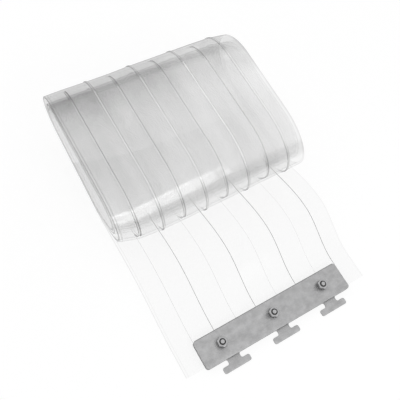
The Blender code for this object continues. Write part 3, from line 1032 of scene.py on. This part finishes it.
    def wind(self, obj: Object) -> None:
        """Lay the flat strip along its path: clamped, over the hump and round the turns."""
        mesh = obj.data
        coords = read_rows(mesh.vertices, "co", 3, float)
        run = np.clip(coords[:, 1], 0.0, self.length)
        pressed = np.clip((run - self.clamp_length) / self.recovery, 0.0, 1.0)
        full = self.path.rib_height
        rib_scale = self.pressed_height + (full - self.pressed_height) * pressed
        half = self.path.thickness / 2
        lift = np.abs(coords[:, 2]) - half
        raised = np.sign(coords[:, 2]) * (half + lift * rib_scale / full)
        height = np.where(lift > 0.0, raised, coords[:, 2])
        sections = (self.first_cuts + 1) * (self.second_cuts + 1)
        station = run / self.length * sections
        lower = np.minimum(station.astype(int), sections - 1)
        part = (station - lower)[:, None]
        placed = coords.copy()
        columns = np.round(coords[:, 0], 6)
        for column in np.unique(columns):
            chosen = columns == column
            first, share = lower[chosen], part[chosen]
            rows = self.path_at(column / (self.width / 2)).line(self.path, self.length, sections)
            place, normal = (row[first] * (1 - share) + row[first + 1] * share for row in rows)
            placed[chosen, 1:] = place + normal * height[chosen, None]
        placed[:, 1] += self.origin_y
        mesh.vertices.foreach_set("co", placed.ravel())
        mesh.update()

    def build(self, finish: ClearSheet) -> None:
        """Make the whole strip, from its clamped end in the hanger to the roll, on no body.

        Args:
            finish: The sheet's finish.
        """
        strip = self.flat_blank()
        self.mark(strip)
        self.map_surface(strip)
        self.wind(strip)
        for side in Side:
            drill(strip, self.hole_radius, (0.0, self.hole_top), side.axis, self.hole_sides)
        shade_smooth(strip)
        nodes = ("strip_roll", "strip_flex_zone", "strip_clamped_end")
        dress(strip, finish.material(), finish.name, "", *nodes)
        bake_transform(strip)


# The hanger


@dataclass
class HangerPlates:
    """The lower plate with its three hooks and the cover plate, cut from sheet with rounded corners."""

    corner: float = 4.5 * MM
    hook_shift: float = 2.5 * MM
    hook_pitch: float = 82.0 * MM
    hook_count: int = 3
    bar_width: float = 42.5 * MM
    bar_depth: float = 9.0 * MM
    slot_depth: float = 7.3 * MM
    neck_width: float = 19.3 * MM
    bar_corner: float = 2.8 * MM
    slot_corner: float = 2.5 * MM
    shank_hole: float = 4.5 * MM
    head_hole: float = 5.8 * MM
    head_depth: float = 1.5 * MM
    edge: float = 0.45 * MM
    overrun: float = 1.0 * MM
    corner_segments: int = 8
    # Width of the painted shadow along each plate's rear rim.
    painted_shadow_rim: float = 1.0 * MM

    def hook_centres(self) -> list[float]:
        """Each hook's place along the plate."""
        middle = (self.hook_count - 1) / 2
        return [self.hook_shift + (index - middle) * self.hook_pitch for index in range(self.hook_count)]

    def _hook_sides(self, width: float) -> list[float]:
        """Both ends of a width about each hook's place."""
        return [centre + side * width / 2 for centre in self.hook_centres() for side in (-1, 1)]

    def _round_uprights(self, piece: Workpiece, xs: list[float], ys: list[float], width: float) -> None:
        """Round a plate's upright edges that stand at some places along it and across it."""
        piece.pick_edges(lambda m, d: abs(d.z) > PARALLEL and near_any(m.x, xs) and near_any(m.y, ys))
        piece.bevel(width, self.corner_segments)

    def hook_plate(self) -> Object:
        """The lower plate: necks and bars drawn out of its front edge, then its holes drilled."""
        low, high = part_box("hook_plate")
        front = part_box("cover_plate")[0].y
        piece = Workpiece.block("hanger_hook_plate", (low.x, front, low.z), tuple(high))
        centres, necks = self.hook_centres(), self._hook_sides(self.neck_width)
        for place in necks:
            piece.cut(0, place)
        piece.pick_faces(lambda c, n: n.y < -FACING and near_any(c.x, centres))
        piece.extrude((0.0, -self.slot_depth, 0.0))
        piece.extrude((0.0, -self.bar_depth, 0.0))
        bar_y = front - self.slot_depth - self.bar_depth / 2
        for side in (-1, 1):
            piece.pick_faces(lambda c, n: n.x * side > FACING and abs(c.y - bar_y) < EDGE_TOUCH)
            piece.extrude((side * (self.bar_width - self.neck_width) / 2, 0.0, 0.0))
        bar_top = front - self.slot_depth
        ends = self._hook_sides(self.bar_width)
        self._round_uprights(piece, ends, [bar_top, bar_top - self.bar_depth], self.bar_corner)
        self._round_uprights(piece, necks, [front, bar_top], self.slot_corner)
        self._round_uprights(piece, [low.x, high.x], [front, high.y], self.corner)
        plate = piece.close()
        for side in Side:
            drill(plate, self.shank_hole, (low.z - self.overrun, high.z + self.overrun), side.axis)
            drill(plate, self.head_hole, (low.z - self.overrun, low.z + self.head_depth), side.axis)
        soften(plate, self.edge)
        return plate

    def cover_plate(self) -> Object:
        """The upper plate with its three holes."""
        low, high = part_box("cover_plate")
        piece = Workpiece.block("hanger_cover_plate", tuple(low), tuple(high))
        self._round_uprights(piece, [low.x, high.x], [low.y, high.y], self.corner)
        # A cut that sets off the rear rim for its painted shadow.
        piece.cut(1, high.y - self.painted_shadow_rim)
        plate = piece.close()
        for side in Side:
            drill(plate, self.shank_hole, (low.z - self.overrun, high.z + self.overrun), side.axis)
        soften(plate, self.edge)
        return plate

    def build(self, finish: Steel) -> None:
        """Make both plates of a steel, with painted shade on their cut edges and a painted shadow along their
        rear rims.
        """
        material = finish.material()
        for plate, node in ((self.hook_plate(), "hook_plate"), (self.cover_plate(), "cover_plate")):
            rim_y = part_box(node)[1].y - self.painted_shadow_rim
            mark_shaded_edges(plate, lambda c, n: abs(n.z) < FLAT or c.y > rim_y)
            dress(plate, material, finish.name, "hanger", node)


@dataclass
class StudSet:
    """The three press-in studs: a flat head, a threaded shank and a broken end."""

    radius: float = 4.0 * MM
    head_height: float = 1.2 * MM
    thread_start: float = 2.2 * MM
    pitch: float = 1.25 * MM
    thread_depth: float = 0.55 * MM
    skin_share: float = 0.95
    end_bevel: float = 1.3 * MM
    sides: int = 40
    rings: int = 96
    smooth_degrees: float = 50.0

    def pattern(self) -> Object:
        """One stud, upright at the origin, with its thread cut."""
        low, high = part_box(f"stud_{Side.LEFT.word}")
        head_radius = (high.x - low.x) / 2
        head_top = low.z + self.head_height
        bevel_z = high.z - self.end_bevel
        radii = (head_radius, head_radius)
        piece = Workpiece.rod("threaded_stud", radii, (low.z, head_top), sides=self.sides)
        piece.pick_faces(lambda c, n: n.z > FACING)
        bpy.ops.mesh.inset(thickness=head_radius - self.radius)
        piece.extrude((0.0, 0.0, high.z - head_top))
        piece.pick_edges(lambda m, d: m.z > high.z - EDGE_TOUCH)
        piece.bevel(self.end_bevel)
        piece.pick_edges(lambda m, d: abs(d.z) > PARALLEL and head_top < m.z < bevel_z)
        bpy.ops.mesh.subdivide(number_cuts=self.rings)
        stud = piece.close()
        self._cut_thread(stud, bevel_z)
        shade_smooth(stud, self.smooth_degrees)
        # Painted shade on the stud's threaded sides.
        mark_shaded_edges(stud, lambda c, n: abs(n.z) < FLAT)
        return stud

    def _cut_thread(self, stud: Object, top: float) -> None:
        """Draw the shank's skin in along a helix.

        Args:
            stud: The stud.
            top: Where the thread runs out.
        """
        for vert in stud.data.vertices:
            x, y, z = vert.co
            reach = math.hypot(x, y)
            if z < self.thread_start or z > top + EDGE_TOUCH or reach < self.radius * self.skin_share:
                continue
            phase = (z / self.pitch - math.atan2(y, x) / (2 * math.pi)) % 1.0
            ease = min(1.0, (z - self.thread_start) / self.pitch)
            share = (self.radius - self.thread_depth * abs(2 * phase - 1) * ease) / reach
            vert.co = (x * share, y * share, z)

    def build(self, finish: Steel) -> None:
        """Make the three studs."""
        set_out(self.pattern(), "stud", finish, turned=False)


@dataclass
class NutSet:
    """The three hexagon nuts, with rounded corners top and bottom and a countersunk bore."""

    width: float = 13.0 * MM
    bore: float = 8.2 * MM
    countersink: float = 0.5 * MM
    overrun: float = 1.0 * MM
    corner_drop: float = 0.6 * MM
    corner_degrees: float = 30.0
    dome_sides: int = 72
    dome_share: float = 1.01
    edge: float = 0.15 * MM
    sharp_degrees: float = 25.0
    upright_slope: float = 0.5
    chamfer_slope: float = 0.3

    def pattern(self) -> Object:
        """One nut at the origin: a hexagon cut by the dome, drilled and countersunk."""
        low, high = (corner.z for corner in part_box(f"nut_{Side.LEFT.word}"))
        corner = self.width / math.sqrt(3.0)
        inner = self.bore / 2
        wide = inner + self.countersink + self.overrun
        nut = Workpiece.rod("hexagon_nut", (corner, corner), (low, high), sides=6).close()
        combine(nut, self._dome(corner, low, high), Joining.KEEP_COMMON)
        drill(nut, inner, (low - self.overrun, high + self.overrun))
        for radii, heights in (
            ((wide, inner), (low - self.overrun, low + self.countersink)),
            ((inner, wide), (high - self.countersink, high + self.overrun)),
        ):
            combine(nut, Workpiece.rod("countersink", radii, heights), Joining.CUT)
        soften(nut, self.edge, self.sharp_degrees)
        mark_shaded_edges(nut, self._is_side)
        return nut

    def _is_side(self, centre: Vector, normal: Vector) -> bool:
        """True for the faces that get painted shade: the nut's outer sides, its lower corners and its bore.
        """
        in_bore = centre.xy.length < self.bore / 2 + self.countersink
        return abs(normal.z) < self.upright_slope and (normal.z < self.chamfer_slope or in_bore)

    def _dome(self, corner: float, low: float, high: float) -> Workpiece:
        """A round body with sloped ends, which takes the corners off a hexagon.

        Args:
            corner: Radius over the hexagon's corners.
            low: The nut's lowest height.
            high: The nut's highest height.

        Returns:
            The body.
        """
        drop = self.corner_drop
        radius = corner * self.dome_share
        narrow = 1.0 - drop / math.tan(math.radians(self.corner_degrees)) / radius
        piece = Workpiece.rod("dome", (radius, radius), (low + drop, high - drop), sides=self.dome_sides)
        for face, level in ((1, high), (-1, low)):
            piece.pick_faces(lambda c, n: n.z * face > FACING)
            piece.extrude((0.0, 0.0, face * drop))
            piece.narrow((narrow, narrow, 1.0), (0.0, 0.0, level))
        return piece

    def build(self, finish: Steel) -> None:
        """Make the three nuts."""
        set_out(self.pattern(), "nut", finish, turned=True)


# The studio


@dataclass(frozen=True)
class Softbox:
    """A rectangular soft lamp that looks at the object."""

    name: str
    place: Point
    size: Pair
    radiance: float

    def hang(self, target: Vector) -> None:
        """Make the lamp.

        Args:
            target: The point that it looks at.
        """
        light = bpy.data.lights.new(self.name, "AREA")
        light.shape = "RECTANGLE"
        light.size, light.size_y = self.size
        light.energy = self.radiance * math.pi * self.size[0] * self.size[1]
        lamp = bpy.data.objects.new(self.name, light)
        lamp.location = self.place
        lamp.rotation_euler = (target - Vector(self.place)).to_track_quat("-Z", "Y").to_euler()
        bpy.context.scene.collection.objects.link(lamp)


@dataclass
class Studio:
    """Camera, pale floor, plain white surroundings and soft lamps."""

    lens: float = 52.26
    sensor: float = 36.0
    far_clip: float = 50.0
    camera_place: Point = (-0.26467, -0.26507, 0.79742)
    right: Point = (0.85953068, -0.49892299, 0.1108281)
    up: Point = (0.41564969, 0.80857899, 0.4164557)
    back: Point = (-0.29739259, -0.31189078, 0.90237564)
    floor_half: float = 4.0
    floor_drop: float = 0.02 * MM
    floor_glow: float = 0.86
    floor_tone: float = 0.20
    floor_spread: float = 0.004
    floor_patch: float = 3.0
    floor_bounce: float = 0.8
    sky_level: float = 0.62
    see_through_steps: int = 64
    lamp_target: Point = (0.0, 0.05, 0.05)
    softboxes: tuple[Softbox, ...] = (
        Softbox("front_softbox", (0.225, -1.22, 1.01), (0.69, 0.43), 2.55),
        Softbox("back_softbox", (-0.6, 1.3, 1.2), (0.9, 0.5), 1.2),
    )

    def camera(self) -> None:
        """Place the camera where the picture was taken from."""
        data = bpy.data.cameras.new("camera")
        data.lens = self.lens
        data.sensor_width = self.sensor
        data.clip_end = self.far_clip
        camera = bpy.data.objects.new("camera", data)
        columns = Matrix((self.right, self.up, self.back)).transposed().to_4x4()
        camera.matrix_world = Matrix.Translation(self.camera_place) @ columns
        bpy.context.scene.collection.objects.link(camera)
        bpy.context.scene.camera = camera

    def floor(self) -> None:
        """A wide pale floor that looks white and keeps a faint shadow."""
        deselect_all()
        bpy.ops.mesh.primitive_plane_add(size=2 * self.floor_half, location=(0.0, 0.0, -self.floor_drop))
        plane = bpy.context.object
        plane.name = "pale_floor"
        made = bpy.data.materials.new("pale_floor")
        canvas = Canvas(made)
        glow = canvas.node("Emission", {"Color": WHITE, "Strength": self.floor_glow})
        patches = canvas.noise((self.floor_patch, self.floor_patch, self.floor_patch))
        tone = patches * self.floor_spread + (self.floor_tone - self.floor_spread / 2)
        colour = canvas.node("CombineColor", {0: tone, 1: tone, 2: tone})
        matt = canvas.node("BsdfDiffuse", {"Color": colour.outputs[0]})
        seen = canvas.node("AddShader", {0: glow.outputs[0], 1: matt.outputs[0]})
        bounce = canvas.node("BsdfDiffuse", {"Color": grey(self.floor_bounce)})
        canvas.finish_with(canvas.shader_mix(canvas.background_rays(), bounce, seen))
        plane.data.materials.append(made)

    def surroundings(self) -> None:
        """White to the eye and to mirrors, and a softer level for light on the object."""
        world = bpy.data.worlds.new("surroundings")
        bpy.context.scene.world = world
        canvas = Canvas(world)
        level = self.sky_level + canvas.background_rays() * (1.0 - self.sky_level)
        canvas.finish_with(canvas.node("Background", {"Color": WHITE, "Strength": level}), "OutputWorld")

    def build(self) -> None:
        """Set the whole studio up, with soft lamps over the front and from behind on the left."""
        scene = bpy.context.scene
        scene.view_settings.view_transform = "Standard"
        scene.cycles.transparent_max_bounces = self.see_through_steps
        self.camera()
        self.floor()
        self.surroundings()
        for softbox in self.softboxes:
            softbox.hang(Vector(self.lamp_target))


def main() -> None:
    """Build the studio and each part of the object in turn."""
    logging.basicConfig(level=logging.INFO, format="%(message)s")
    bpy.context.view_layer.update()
    Studio().build()
    CurtainStrip().build(ClearSheet())
    HangerPlates().build(PLATE_STEEL)
    StudSet().build(STUD_STEEL)
    NutSet().build(NUT_STEEL)


if __name__ == "__main__":
    main()
